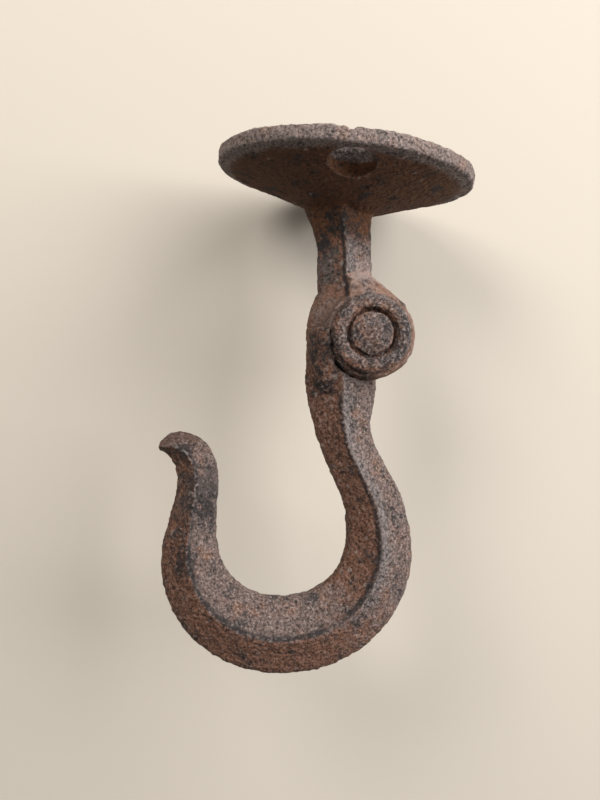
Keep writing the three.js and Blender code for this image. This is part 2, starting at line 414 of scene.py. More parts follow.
class NodeBench:
    """Places nodes in one tree and wires them together."""

    def __init__(self, tree: bpy.types.NodeTree) -> None:
        """Start on an empty tree."""
        self.tree = tree
        tree.nodes.clear()

    def add(self, kind: str, **values: object) -> bpy.types.Node:
        """Add a node and set its properties.

        Args:
            kind: The node's type name.
            values: Properties of the node, by name.

        Returns:
            The new node.
        """
        node = self.tree.nodes.new(kind)
        for name, value in values.items():
            setattr(node, name, value)
        return node

    def wire(self, source: Socket, target: Socket) -> None:
        """Join an output to an input."""
        self.tree.links.new(source, target)

    def feed(self, node: bpy.types.Node, name: str | int, value: object) -> None:
        """Set an input, from another node's output or from a plain value."""
        if isinstance(value, Socket):
            self.wire(value, node.inputs[name])
        else:
            node.inputs[name].default_value = value

    def noise(self, place: object, size: object, detail: float, rough: float) -> Socket:
        """Add a noise pattern and return its height from 0 to 1.

        Args:
            place: The coordinates, as an output.
            size: Features per metre, as a value or an output.
            detail: How many finer layers it has.
            rough: How strong the finer layers are.

        Returns:
            The pattern's value.
        """
        node = self.add("ShaderNodeTexNoise")
        self.feed(node, "Vector", place)
        self.feed(node, "Scale", size)
        node.inputs["Detail"].default_value = detail
        node.inputs["Roughness"].default_value = rough
        return node.outputs["Fac"]

    def ramp(self, value: object, low: object, high: object) -> Socket:
        """Map a value to 0 at low and 1 at high, softly, and return it."""
        node = self.add("ShaderNodeMapRange", interpolation_type="SMOOTHSTEP")
        self.feed(node, "Value", value)
        self.feed(node, "From Min", low)
        self.feed(node, "From Max", high)
        return node.outputs["Result"]

    def fed(self, node: bpy.types.Node, *given: object) -> bpy.types.Node:
        """Set a node's first inputs, in order, and return the node."""
        for index, value in enumerate(given):
            self.feed(node, index, value)
        return node

    def sum(self, kind: str, first: object, second: object) -> Socket:
        """Do one sum on two values and return the clamped result."""
        node = self.add("ShaderNodeMath", operation=kind, use_clamp=True)
        return self.fed(node, first, second).outputs[0]

    def times(self, first: object, second: object) -> Socket:
        """Multiply two values and return the clamped result."""
        return self.sum("MULTIPLY", first, second)

    def scaled(self, value: object, factor: object, plus: object) -> Socket:
        """Return a value times a factor plus another value, not clamped."""
        node = self.add("ShaderNodeMath", operation="MULTIPLY_ADD")
        return self.fed(node, value, factor, plus).outputs[0]

    def vector(self, kind: str, *given: object) -> bpy.types.bpy_prop_collection:
        """Do one sum on vectors and return the node's outputs."""
        return self.fed(self.add("ShaderNodeVectorMath", operation=kind), *given).outputs

    def coat(self, under: object, mask: object, strength: float, over: object) -> Socket:
        """Lay one colour over another by a mask at some strength and return the colour."""
        return self.blend(self.times(mask, strength), under, over)

    def blend(self, share: object, under: object, over: object) -> Socket:
        """Lay one colour over another by a share and return the colour."""
        node = self.add("ShaderNodeMix", data_type="RGBA")
        self.feed(node, "Factor", share)
        for index, value in ((6, under), (7, over)):
            self.feed(node, index, value)
        return node.outputs[2]


class EffectBench(NodeBench):
    """A bench on a new shader group: what it is given, and the results it hands out."""

    def __init__(self, name: str, inputs: dict[str, float | None], outputs: list[str]) -> None:
        """Make the group.

        Args:
            name: The group's name.
            inputs: Each input after Place and its default; None makes a vector input.
            outputs: The names of its float outputs.
        """
        group = bpy.data.node_groups.new(name, "ShaderNodeTree")
        super().__init__(group)
        for title, default in {"Place": None, **inputs}.items():
            kind = "NodeSocketVector" if default is None else "NodeSocketFloat"
            socket = group.interface.new_socket(title, in_out="INPUT", socket_type=kind)
            if default is not None:
                socket.default_value = default
        for title in outputs:
            group.interface.new_socket(title, in_out="OUTPUT", socket_type="NodeSocketFloat")
        self.given = self.add("NodeGroupInput").outputs
        self.place = self.given["Place"]
        self.results = self.add("NodeGroupOutput").inputs

    def hand_out(self, name: str, value: Socket) -> None:
        """Send a value to one of the group's outputs."""
        self.wire(value, self.results[name])


def sand_grain_group() -> None:
    """Make the gritty skin left by the sand mould: a height, pale grains that also stand in for painted
    glints, and dark pits.
    """
    bench = EffectBench(
        "sand_grain", {"Grain": 1700.0, "Pitting": 0.5}, ["Height", "Light", "Pits"]
    )
    place = bench.place
    grain = bench.noise(place, bench.given["Grain"], 5.0, 0.82)
    wide = bench.scaled(bench.given["Grain"], 0.45, 0.0)
    lumps = bench.noise(place, wide, 4.0, 0.65)
    cells = bench.add("ShaderNodeTexVoronoi", feature="F1")
    bench.feed(cells, "Vector", place)
    bench.feed(cells, "Scale", wide)
    holes = bench.ramp(cells.outputs["Distance"], 0.42, 0.12)
    some = bench.ramp(lumps, 0.56, 0.4)
    pits = bench.times(bench.times(holes, some), bench.given["Pitting"])
    height = bench.sum("ADD", bench.times(grain, 0.6), bench.times(lumps, 0.4))
    bench.hand_out("Height", bench.sum("SUBTRACT", height, bench.times(pits, 0.35)))
    bench.hand_out("Light", bench.ramp(grain, 0.51, 0.63))
    bench.hand_out("Pits", bench.sum("MAXIMUM", pits, bench.ramp(grain, 0.50, 0.39)))


def patches_group() -> None:
    """Make ragged patches, such as rust or bare dark iron, over part of a surface."""
    bench = EffectBench("patches", {"Size": 120.0, "Share": 0.5, "Edge": 0.08}, ["Mask"])
    pattern = bench.noise(bench.place, bench.given["Size"], 6.0, 0.68)
    level = bench.sum("SUBTRACT", 0.85, bench.times(bench.given["Share"], 0.7))
    low, high = (bench.sum(way, level, bench.given["Edge"]) for way in ("SUBTRACT", "ADD"))
    bench.hand_out("Mask", bench.ramp(pattern, low, high))


def wear_group() -> None:
    """Find where the shape is rubbed and where dirt gathers: its high edges and its hollows."""
    bench = EffectBench("wear", {"Reach": 0.05}, ["Edge", "Hollow"])
    shape = bench.add("ShaderNodeNewGeometry").outputs["Pointiness"]
    reach = bench.given["Reach"]
    broken = bench.ramp(bench.noise(bench.place, 420.0, 4.0, 0.7), 0.3, 0.62)
    edge = bench.ramp(shape, 0.51, bench.sum("ADD", 0.51, reach))
    bench.hand_out("Edge", bench.times(edge, broken))
    bench.hand_out("Hollow", bench.ramp(shape, 0.49, bench.sum("SUBTRACT", 0.49, reach)))


def ridge_group() -> None:
    """Make the dark line along a bar's ridge, a painted sheen beside it, and the painted light that makes
    lit facets grey.
    """
    bench = EffectBench("ridge", {"Across": NO_RIDGE, "Weather": 0.0},
                        ["Line", "Ridge_sheen", "Clean"])
    ragged = bench.noise(bench.place, 500.0, 5.0, 0.75)
    across = bench.scaled(ragged, 0.3, bench.given["Across"])
    inner = bench.times(bench.ramp(across, -0.04, 0.07), bench.ramp(across, 0.19, 0.12))
    gaps = bench.ramp(bench.noise(bench.place, 75.0, 3.0, 0.6), 0.30, 0.46)
    broken = bench.times(bench.ramp(ragged, 0.3, 0.46), gaps)
    bench.hand_out("Line", bench.times(inner, broken))
    # Painted sheen: a grey-blue reflection on the strip just outside each ridge.
    outer = bench.times(bench.ramp(across, 0.14, 0.22), bench.ramp(across, 0.62, 0.24))
    bench.hand_out("Ridge_sheen", outer)
    # Painted light and shade: facets that face the light are given the lit grey, the rest keep the shaded
    # brown.
    facing = bench.scaled(ragged, 0.7, bench.given["Weather"])
    bench.hand_out("Clean", bench.ramp(facing, 0.42, 0.74))


def collar_group() -> None:
    """Make a band round the pin, between two distances from its axis."""
    bench = EffectBench("collar", {"Pin": None, "Inner": 0.009, "Outer": 0.014}, ["Mask"])
    soft = 0.0003
    offset = bench.vector("SUBTRACT", bench.place, bench.given["Pin"])["Vector"]
    away = bench.vector("LENGTH", bench.vector("MULTIPLY", offset, (1, 0, 1))["Vector"])["Value"]
    inner, outer = bench.given["Inner"], bench.given["Outer"]
    starts = bench.ramp(away, inner, bench.scaled(inner, 1.0, soft))
    ends = bench.ramp(away, outer, bench.scaled(outer, 1.0, -soft))
    bench.hand_out("Mask", bench.times(starts, ends))


def plate_zones_group() -> None:
    """Find the plate's rim, painted grey and pale as lit, and its underside, painted dark brown as shade.
    """
    bench = EffectBench("plate_zones", {"Lip": -0.0040, "Root": -0.0150}, ["Rim", "Under"])
    lip, root = bench.given["Lip"], bench.given["Root"]
    split = bench.add("ShaderNodeSeparateXYZ")
    bench.feed(split, "Vector", bench.place)
    ragged = bench.noise(bench.place, 260.0, 6.0, 0.75)
    height = bench.scaled(ragged, 0.0012, split.outputs["Z"])
    rim = bench.ramp(height, lip, bench.scaled(lip, 1.0, 0.0009))
    above_root = bench.ramp(height, bench.scaled(root, 1.0, -0.0040), root)
    bench.hand_out("Rim", rim)
    bench.hand_out("Under", bench.times(bench.sum("SUBTRACT", 1.0, rim), above_root))


def stain_or_shade_group() -> None:
    """Make a ragged patch round one place: a stain such as soot or tar, or painted shade."""
    bench = EffectBench("stain_or_shade", {"Centre": None, "Radius": 0.008}, ["Mask"])
    gap = bench.vector("DISTANCE", bench.place, bench.given["Centre"])["Value"]
    near = bench.ramp(gap, bench.given["Radius"], 0.0)
    ragged = bench.noise(bench.place, 520.0, 7.0, 0.82)
    bench.hand_out("Mask", bench.ramp(bench.scaled(ragged, 3.2, near), 2.15, 2.55))


@dataclass(frozen=True)
class StainOrShade:
    """One stain or patch of painted shade: its centre in the part's frame and its radius, in millimetres.
    """

    centre: Place
    radius: float
    colour: Colour = (0.010, 0.009, 0.010, 1)
    share: float = 0.9


@dataclass(frozen=True)
class Collar:
    """One band of another colour round the pin, between two radii in millimetres."""

    inner: float
    outer: float
    colour: Colour
    share: float = 0.8
    smooth: float = 0.0


@dataclass(frozen=True)
class CastIron:
    """Raw cast iron left to rust, with painted light, shade and sheen: its layers of colour and how much of
    each shows.
    """

    name: str
    pin: Vector
    # Painted light and shade: this grey colours the facets that face the light; the brown below colours the
    # rusty facets turned away from it.
    grey: Colour = (0.135, 0.092, 0.081, 1)
    # Painted sheen: the colour of the reflection beside the ridges.
    ridge_sheen: Colour = (0.140, 0.138, 0.144, 1)
    # Pale grit, also used for painted glints, rubbed edges and the painted light on the plate's rim.
    pale: Colour = (0.430, 0.355, 0.330, 1)
    brown: Colour = (0.150, 0.062, 0.033, 1)
    orange: Colour = (0.240, 0.104, 0.050, 1)
    black: Colour = (0.010, 0.009, 0.010, 1)
    # Painted shade: the dark brown of the plate's underside in shadow.
    underside_shade: Colour = (0.118, 0.040, 0.009, 1)
    orange_share: float = 0.38
    black_share: float = 0.38
    orange_strength: float = 0.6
    black_strength: float = 0.8
    ridge_sheen_strength: float = 0.55
    # How strongly the plate's rim is painted pale, as painted light.
    lit_rim_strength: float = 0.22
    light_strength: float = 0.6
    pit_strength: float = 0.93
    hollow_strength: float = 0.7
    edge_strength: float = 0.4
    line_strength: float = 0.9
    orange_size: float = 260.0
    black_size: float = 210.0
    other_place: Place = (0.31, 0.17, 0.43)
    # How much of the grit and painted glints, and of the collar colour, shows on the shaded side.
    shaded_side_glints: float = 0.45
    shaded_side_collar: float = 0.4
    smooth_calm: float = 0.8
    # Fewer painted glints on the shaded underside.
    underside_glint_calm: float = 0.8
    roughness: float = 0.78
    clean_polish: float = 0.16
    dark_rough: float = 0.2
    edge_polish: float = 0.15
    metallic: float = 0.08
    specular: float = 0.42
    grain: float = 1700.0
    pitting: float = 0.9
    relief: float = 0.0013
    stains_and_shade: tuple[StainOrShade, ...] = ()
    collars: tuple[Collar, ...] = ()
    plate: bool = False

    def place_group(self, bench: NodeBench, group: str, place: object, **values: object) -> bpy.types.Node:
        """Place one shared effect in the material with its own values."""
        node = bench.add("ShaderNodeGroup", node_tree=bpy.data.node_groups[group])
        bench.feed(node, "Place", place)
        for name, value in values.items():
            bench.feed(node, name.capitalize(), value)
        return node

    def layers(self, bench: NodeBench, place: object) -> dict[str, Socket]:
        """Work out the colour, the roughness and the height of the whole surface.

        Args:
            bench: The material's bench.
            place: The point on the piece.

        Returns:
            The outputs named colour, rough and height.
        """
        shifted = bench.add("ShaderNodeMapping")
        bench.feed(shifted, "Vector", place)
        shifted.inputs["Location"].default_value = self.other_place
        other = shifted.outputs["Vector"]
        across = bench.add("ShaderNodeAttribute", attribute_name=RIDGE_MARK).outputs["Fac"]
        weather = bench.add("ShaderNodeAttribute", attribute_name=LIT_FACING_MARK).outputs["Fac"]
        grain = self.place_group(bench, "sand_grain", place, grain=self.grain, pitting=self.pitting)
        orange = self.place_group(bench, "patches", other, size=self.orange_size,
                                  share=self.orange_share, edge=0.1)
        black = self.place_group(bench, "patches", other, size=self.black_size,
                                 share=self.black_share, edge=0.06)
        wear = self.place_group(bench, "wear", place)
        ridge = self.place_group(bench, "ridge", place, across=across, weather=weather)
        # Painted light and shade: 1 on the side facing the light, which is painted grey, 0 on the side
        # turned away, which stays brown.
        lit_side = ridge.outputs["Clean"]
        if self.plate:
            zones = self.place_group(bench, "plate_zones", place)
            # Painted light: the plate's rim is painted grey as lit.
            lit_side = bench.sum("MAXIMUM", lit_side, zones.outputs["Rim"])
        colour = bench.blend(lit_side, self.brown, self.grey)
        colour = bench.coat(colour, orange.outputs["Mask"], self.orange_strength, self.orange)
        # Painted sheen beside the ridge, on the lit side only.
        ridge_sheen = bench.times(ridge.outputs["Ridge_sheen"], lit_side)
        colour = bench.coat(colour, ridge_sheen, self.ridge_sheen_strength, self.ridge_sheen)
        smooth: object = 0.0
        for band in self.collars:
            mask = self.place_group(bench, "collar", place, pin=self.pin, inner=band.inner * MM,
                                    outer=band.outer * MM).outputs["Mask"]
            # The collar's colour shows fully on the lit side and only partly on the shaded side, as painted
            # light.
            bare = bench.times(lit_side, 1 - self.shaded_side_collar)
            shown = bench.times(mask, bench.sum("ADD", bare, self.shaded_side_collar))
            colour = bench.coat(colour, shown, band.share, band.colour)
            smooth = bench.times(shown, band.smooth)
        if self.plate:
            # Painted light on the rim and painted shade on the underside.
            colour = bench.coat(colour, zones.outputs["Rim"], self.lit_rim_strength, self.pale)
            colour = bench.blend(zones.outputs["Under"], colour, self.underside_shade)
        colour = bench.coat(colour, black.outputs["Mask"], self.black_strength, self.black)
        # Pale grit that also stands in for painted glints, strongest on the lit side.
        light = bench.times(grain.outputs["Light"], bench.sum("ADD", lit_side, self.shaded_side_glints))
        # Fewer painted glints on the plate's shaded underside.
        if self.plate:
            light = bench.sum("SUBTRACT", light, bench.times(zones.outputs["Under"], self.underside_glint_calm))
        light = bench.times(light, bench.sum("SUBTRACT", 1.0, bench.times(smooth, self.smooth_calm)))
        colour = bench.coat(colour, light, self.light_strength, self.pale)
        dark = bench.sum("MAXIMUM", bench.times(grain.outputs["Pits"], self.pit_strength),
                         bench.times(wear.outputs["Hollow"], self.hollow_strength))
        dark = bench.times(dark, bench.sum("SUBTRACT", 1.0, smooth))
        dark = bench.sum("MAXIMUM", dark, bench.times(ridge.outputs["Line"], self.line_strength))
        # Stains, and patches of painted shade, laid over the colour.
        for stain_or_shade in self.stains_and_shade:
            centre = Vector(stain_or_shade.centre) * MM
            mask = self.place_group(bench, "stain_or_shade", place, centre=centre, radius=stain_or_shade.radius * MM)
            colour = bench.coat(colour, mask.outputs["Mask"], stain_or_shade.share, stain_or_shade.colour)
        colour = bench.blend(dark, colour, self.black)
        colour = bench.coat(colour, wear.outputs["Edge"], self.edge_strength, self.pale)
        rough = bench.sum("SUBTRACT", self.roughness, bench.times(lit_side, self.clean_polish))
        rough = bench.sum("ADD", rough, bench.times(dark, self.dark_rough))
        rough = bench.sum("SUBTRACT", rough, bench.times(wear.outputs["Edge"], self.edge_polish))
        return {"colour": colour, "rough": rough, "height": grain.outputs["Height"]}

    def make(self) -> bpy.types.Material:
        """Build the material.

        Returns:
            The finished material.
        """
        material = bpy.data.materials.new(self.name)
        material.use_nodes = True
        bench = NodeBench(material.node_tree)
        place = bench.add("ShaderNodeTexCoord").outputs["Object"]
        layers = self.layers(bench, place)
        bump = bench.add("ShaderNodeBump")
        bump.inputs["Strength"].default_value = 1.0
        bump.inputs["Distance"].default_value = self.relief
        bench.wire(layers["height"], bump.inputs["Height"])
        shader = bench.add("ShaderNodeBsdfPrincipled")
        bench.wire(layers["colour"], shader.inputs["Base Color"])
        bench.wire(layers["rough"], shader.inputs["Roughness"])
        shader.inputs["Metallic"].default_value = self.metallic
        shader.inputs["Specular IOR Level"].default_value = self.specular
        bench.wire(bump.outputs["Normal"], shader.inputs["Normal"])
        finish = bench.add("ShaderNodeOutputMaterial")
        bench.wire(shader.outputs["BSDF"], finish.inputs["Surface"])
        return material

    def put_on(self, piece: Solid) -> None:
        """Make the finish and put it on a piece."""
        piece.data.materials.clear()
        piece.data.materials.append(self.make())


# ---- the object


@dataclass(frozen=True)
class StemPlane:
    """The leaning plane that the stem and hook lie in, measured from the pin."""

    lean: float = math.radians(5.6)
    pin_drop: float = 40.2
    pin_offset: float = 5.2

    def matrix(self) -> Matrix:
        """Return the turn and move from this plane to the part's frame."""
        return Matrix.Translation(self.pin()) @ Euler((0, -self.lean, 0)).to_matrix().to_4x4()

    def pin(self) -> Vector:
        """Return the pin's place in the part's frame, in metres."""
        across = self.pin_offset * math.cos(self.lean) + self.pin_drop * math.sin(self.lean)
        down = self.pin_offset * math.sin(self.lean) - self.pin_drop * math.cos(self.lean)
        return Vector((across, 0, down)) * MM

    def put(self, piece: Solid) -> Solid:
        """Move a piece made in this plane to its place in the part's frame."""
        piece.rotation_euler = Euler((0, -self.lean, 0))
        piece.location = self.pin()
        settle(piece)
        return piece

    def put_on_pin(self, piece: Solid, side: Side = Side.BACK) -> Solid:
        """Turn a piece made about Z to lie about the pin, facing one side, and put it there."""
        piece.rotation_euler = Euler((-side.value * math.pi / 2, 0, 0))
        settle(piece)
        return self.put(piece)


@dataclass(frozen=True)
class Knuckle:
    """The sizes round the pin that the fork, the hook, the cups and the rivet share."""

    shoulder: float = -6.3
    shoulder_half: float = 8.4
    half_depth: float = 6.0
    butt_height: float = 1.7
    gap: float = 0.3
    tongue_half: float = 3.0
    tongue_radius: float = 9.6
    ear_radius: float = 10.5
    ear_face_radius: float = 9.9
    ear_thickness: float = 4.0
    ear_taper: float = 2.6
    pin_radius: float = 3.0
    cup_radius: float = 9.0
    cup_thickness: float = 2.8
    recess_radius: float = 5.5
    recess_depth: float = 1.7
    head_radius: float = 4.9

    @property
    def ear_inner(self) -> float:
        """The ear's inner face."""
        return self.tongue_half + self.gap

    @property
    def ear_outer(self) -> float:
        """The ear's outer face."""
        return self.ear_inner + self.ear_thickness

    @property
    def cup_back(self) -> float:
        """The cup's back face."""
        return self.ear_outer + self.gap

    @property
    def cup_front(self) -> float:
        """The cup's outer face."""
        return self.cup_back + self.cup_thickness

    @property
    def bore_radius(self) -> float:
        """The radius of every hole on the pin."""
        return self.pin_radius + self.gap


@dataclass
class Piece:
    """What every piece has: the two shared sets of sizes, a finish and its one finished object."""

    plane: StemPlane
    knuckle: Knuckle
    finish: CastIron
    piece: Solid | None = field(default=None, init=False)

    def on_pin(self, body: Solid, tool: Solid, cut: Cut, side: Side = Side.BACK) -> None:
        """Lay a solid made about Z along the pin, then join it to the body or cut it out."""
        combine(body, self.plane.put_on_pin(tool, side), cut)

    def bore(self, body: Solid) -> None:
        """Drill the body for the pin."""
        sizes = self.knuckle
        drill = cylinder(sizes.bore_radius, -sizes.cup_front, sizes.cup_front, FEW)
        self.on_pin(body, drill, Cut.TAKE_AWAY)

    def keep(self, body: Solid, voxel: float, rounds: int, skin: SandSkin, guide: BarGuide | None) -> None:
        """Give the closed solid its cast skin and keep it as the finished piece.

        Args:
            body: The solid, at its place in the part's frame.
            voxel: The size of the skin's faces, in millimetres.
            rounds: How many times its edges are eased.
            skin: How uneven the skin is.
            guide: The bar whose ridges are marked, where the piece has one.
        """
        smoothed_casting(body, voxel, rounds)
        # Painted light: store how far each point faces the light, so the finish paints lit facets grey and
        # shaded ones brown.
        mark_points(body, LIT_FACING_MARK, [vertex.normal.dot(LIT_DIRECTION) for vertex in body.data.vertices])
        if guide is None:
            mark_points(body, RIDGE_MARK, [NO_RIDGE] * len(body.data.vertices))
        else:
            guide.mark(body)
        skin.press_into(body)
        self.piece = body


@dataclass
class MountCasting(Piece):
    """The plate, the stem and the fork: one casting with two countersunk screw holes."""

    plate_radius: float = 30.0
    rim: float = 3.6
    edge: float = 0.6
    cone_slope: float = math.radians(20)
    cone_start: float = 28.5
    cone_end: float = 7.0
    screw_circle: float = 22.5
    screw_radius: float = 3.2
    countersink_radius: float = 5.0
    recess_end: float = 4.2
    cone_top: float = 2.2
    stem_top: float = 7.0
    stem_root: float = 18.0
    stem_offset: float = -5.5
    half_width: float = 6.5
    web_corners: tuple[tuple[float, float], ...] = ((-5, 4), (-5, 13), (0.4, 13.2), (8.3, 6.6), (6, 2))
    web_inset: float = 0.7
    nick_radius: float = 1.3
    nick_depth: float = 5.0
    nick_place: tuple[float, float] = (-1.4, 0.1)
    voxel: float = 0.34

    def plate(self) -> Solid:
        """Make the plate: a shallow cone, a rim and the flat mounting face."""
        rise = (self.cone_start - self.cone_end) * math.tan(self.cone_slope)
        outer, inner = self.plate_radius, self.plate_radius - self.edge
        return turned([
            (self.cone_end, -self.rim - rise), (self.cone_start, -self.rim), (inner, -self.rim),
            (outer, -self.rim + self.edge), (outer, -self.edge), (inner, 0),
        ], MOST)

    def stem_rows(self) -> list[Row]:
        """Return the stem's rows, from inside the plate down to the hook's stop."""
        side, wide, sizes = self.stem_offset, self.half_width, self.knuckle
        deep, butt = sizes.half_depth, sizes.butt_height
        top, root = self.plane.pin_drop - self.stem_top, self.plane.pin_drop - self.stem_root
        return [
            (side - 1.0, top, wide + 3.4, deep + 3.6),
            (side - 1.0, root + 6.9, wide + 1.9, deep + 1.9),
            (side - 0.8, root + 4, wide + 0.7, deep + 0.6),
            (side - 0.3, root, wide + 0.1, deep),
            (side - 0.1, butt + 15, wide, deep),
            (side, butt + 11, wide + 0.2, deep),
            (side + 0.7, butt + 8, wide + 1.1, deep + 0.1),
            (side + 0.2, butt + 4, wide + 1.5, deep + 0.4),
            (sizes.shoulder, butt + 1.6, sizes.shoulder_half - 0.4, deep + 0.4),
            (sizes.shoulder, butt, sizes.shoulder_half, deep + 0.4),
        ]

    def gusset(self) -> Solid:
        """Make the web that runs from the stem's right side down to the ears, tangent to them."""
        half = self.knuckle.ear_outer - self.web_inset
        web = drawn_face([(u, -half, v) for u, v in self.web_corners])
        bpy.ops.mesh.extrude_region_move(TRANSFORM_OT_translate={"value": (0, 2 * half * MM, 0)})
        close_solid()
        return self.plane.put(web)

    def ear(self) -> Solid:
        """Make one ear of the fork, tapered toward its outer face."""
        sizes = self.knuckle
        return turned([
            (sizes.ear_radius, sizes.ear_inner), (sizes.ear_radius, sizes.ear_outer - sizes.ear_taper),
            (sizes.ear_face_radius, sizes.ear_outer),
        ])

    def screw_hole(self, side: Side) -> Solid:
        """Make the shape of one screw hole, with its countersink."""
        below, above = -15.0, 5.0
        hole = turned([
            (self.countersink_radius, below), (self.countersink_radius, -self.recess_end),
            (self.screw_radius, -self.cone_top), (self.screw_radius, above),
        ], FEW)
        hole.location = (0, side.value * self.screw_circle * MM, 0)
        settle(hole)
        return hole

    def rim_nick(self) -> Solid:
        """Make the wedge that leaves the small nick in the front of the rim."""
        wedge = cylinder(self.nick_radius, -self.nick_depth / 2, self.nick_depth / 2, 4)
        wedge.rotation_euler = Euler((math.pi / 2, 0, 0))
        across, height = self.nick_place
        wedge.location = Vector((across, -self.plate_radius, height)) * MM
        settle(wedge)
        return wedge

    def build(self) -> None:
        """Join the parts of the casting, cut its slot and holes, and give it its skin."""
        body = self.plate()
        body.name = "mount_casting"
        rows = self.stem_rows()
        combine(body, self.plane.put(swept_bar(rows, BarSection())), Cut.JOIN)
        combine(body, self.gusset(), Cut.JOIN)
        for side in Side:
            self.on_pin(body, self.ear(), Cut.JOIN, side)
        sizes = self.knuckle
        slot = cylinder(sizes.tongue_radius + sizes.gap, -sizes.ear_inner, sizes.ear_inner)
        self.on_pin(body, slot, Cut.TAKE_AWAY)
        self.bore(body)
        for side in Side:
            combine(body, self.screw_hole(side), Cut.TAKE_AWAY)
        combine(body, self.rim_nick(), Cut.TAKE_AWAY)
        skin = SandSkin(lump_depth=0.32, grain_depth=0.34)
        self.keep(body, self.voxel, 2, skin, BarGuide(rows, self.plane, buried=2))

    def dress(self) -> None:
        """Give the casting its finish and tie it to the mount."""
        self.finish.put_on(self.piece)
        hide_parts("plate_and_stem")
        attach(self.piece, Body.MOUNT.value)


@dataclass
class HookCasting(Piece):
    """The J hook with its shoulder, its tongue and its flared tip."""

    bend_u: float = -19.3
    bend_v: float = -47.8
    bend_radius: float = 22.3
    bend_half: float = 7.0
    bend_depth: float = 6.4
    arm_half: float = 4.9
    tip_depth: float = 5.2
    ear_gap: float = 0.12
    cheek_wide: float = 5.0
    cheek_deep: float = 8.2
    cheek_offset: float = -9.6
    voxel: float = 0.31

    def bend(self) -> list[Row]:
        """Return the rows of the round bend, which is thickest at its bottom."""
        swell = ((-10, 0, 1.2), (-37, 0.3, 1.8), (-63, 0.3, 2.2), (-90, 0.3, 2.2),
                 (-116, 0.9, 2.0), (-143, 1.1, 1.3), (-169, 0.4, 0.0))
        rows = []
        for degrees, extra, wide in swell:
            angle, radius = math.radians(degrees), self.bend_radius + extra
            rows.append((self.bend_u + radius * math.cos(angle), self.bend_v + radius * math.sin(angle),
                         self.bend_half + wide, self.bend_depth))
        return rows

    def rows(self) -> list[Row]:
        """Return the bar's rows, from its shoulder to its tip."""
        side, wide, deep = self.knuckle.shoulder, self.knuckle.shoulder_half, self.knuckle.half_depth
        arm = self.bend_u - self.bend_radius
        return [
            (side, self.knuckle.butt_height, wide, deep + 0.4),
            (side, -6, wide, deep + 0.3),
            (side, -13.3, wide - 0.1, deep),
            (side + 0.4, -20.8, 6.9, deep),
            (side + 2.1, -27.3, 6.2, deep),
            (side + 5.4, -34.3, 6.5, deep),
            (side + 8.1, -40.8, 7.2, deep),
            *self.bend(),
            (arm + 1.0, self.bend_v + 6.5, self.arm_half + 0.4, self.bend_depth - 0.3),
            (arm + 1.8, self.bend_v + 13.5, self.arm_half, self.bend_depth - 0.7),
            (arm + 0.6, self.bend_v + 19.0, self.arm_half - 0.1, self.tip_depth),
            (arm - 2.8, self.bend_v + 21.7, self.arm_half - 1.2, self.tip_depth),
            (arm - 5.6, self.bend_v + 21.8, self.arm_half - 2.7, self.tip_depth - 0.6),
            (arm - 7.2, self.bend_v + 21.3, self.arm_half - 4.2, self.tip_depth - 1.4),
        ]

    def cheek(self) -> Solid:
        """Make the swelling of the shoulder that laps over the ears, up to the hook's stop."""
        swelling = turned([
            (0.15, -16.0), (0.55, -13.6), (0.82, -10.5), (0.96, -6.5), (1.0, -2.0), (0.98, 0.8),
            (0.93, self.knuckle.butt_height - 0.1),
        ], FEW)
        take(swelling)
        bpy.ops.transform.resize(value=(self.cheek_wide, self.cheek_deep, 1))
        swelling.location = (self.cheek_offset * MM, 0, 0)
        settle(swelling)
        return self.plane.put(swelling)

    def build(self) -> None:
        """Cut the bar clear of the fork, add the tongue, bore it and give it its skin."""
        rows = self.rows()
        body = self.plane.put(swept_bar(rows, BarSection()))
        body.name = "hook_casting"
        sizes = self.knuckle
        relief = sizes.ear_radius + self.ear_gap
        combine(body, self.cheek(), Cut.JOIN)
        for side in Side:
            for radius, low, high in ((relief, sizes.tongue_half, sizes.ear_outer + 0.1),
                                      (sizes.cup_radius + sizes.gap, sizes.ear_outer, sizes.cup_front + 1)):
                self.on_pin(body, cylinder(radius, low, high), Cut.TAKE_AWAY, side)
        tongue = cylinder(sizes.tongue_radius, -sizes.tongue_half, sizes.tongue_half)
        self.on_pin(body, tongue, Cut.JOIN)
        self.bore(body)
        self.keep(body, self.voxel, 2, SandSkin(), BarGuide(rows, self.plane))

    def dress(self) -> None:
        """Give the hook its finish and tie it to the hook's body."""
        self.finish.put_on(self.piece)
        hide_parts("hook")
        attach(self.piece, Body.HOOK.value)


@dataclass
class CupWasher(Piece):
    """A thick ring that sinks one head of the rivet."""

    side: Side
    voxel: float = 0.25

    @property
    def node(self) -> str:
        """The frame's name for this cup."""
        return f"cup_{self.side.name.lower()}"

    def build(self) -> None:
        """Turn the ring, sink its recess, bore it and give it its skin."""
        sizes = self.knuckle
        outer, back, front = sizes.cup_radius, sizes.cup_back, sizes.cup_front
        ring = turned([(outer - 0.2, back), (outer, back + 0.4), (outer, front - 1.0),
                       (outer - 0.35, front - 0.3), (outer - 1.0, front)])
        floor = front - sizes.recess_depth
        groove = turned([(sizes.recess_radius, floor), (sizes.recess_radius, front - 0.9),
                         (sizes.recess_radius + 0.7, front), (sizes.recess_radius + 0.7, front + 1)])
        combine(ring, groove, Cut.TAKE_AWAY)
        combine(ring, cylinder(sizes.bore_radius, back - 1, front + 1, FEW), Cut.TAKE_AWAY)
        ring.name = f"{self.node}_ring"
        self.plane.put_on_pin(ring, self.side)
        skin = SandSkin(lump_size=1.6, lump_depth=0.42, grain_size=0.7, grain_depth=0.42)
        self.keep(ring, self.voxel, 3, skin, None)

    def dress(self) -> None:
        """Give the cup its finish and tie it to the mount."""
        self.finish.put_on(self.piece)
        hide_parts(self.node)
        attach(self.piece, Body.MOUNT.value)


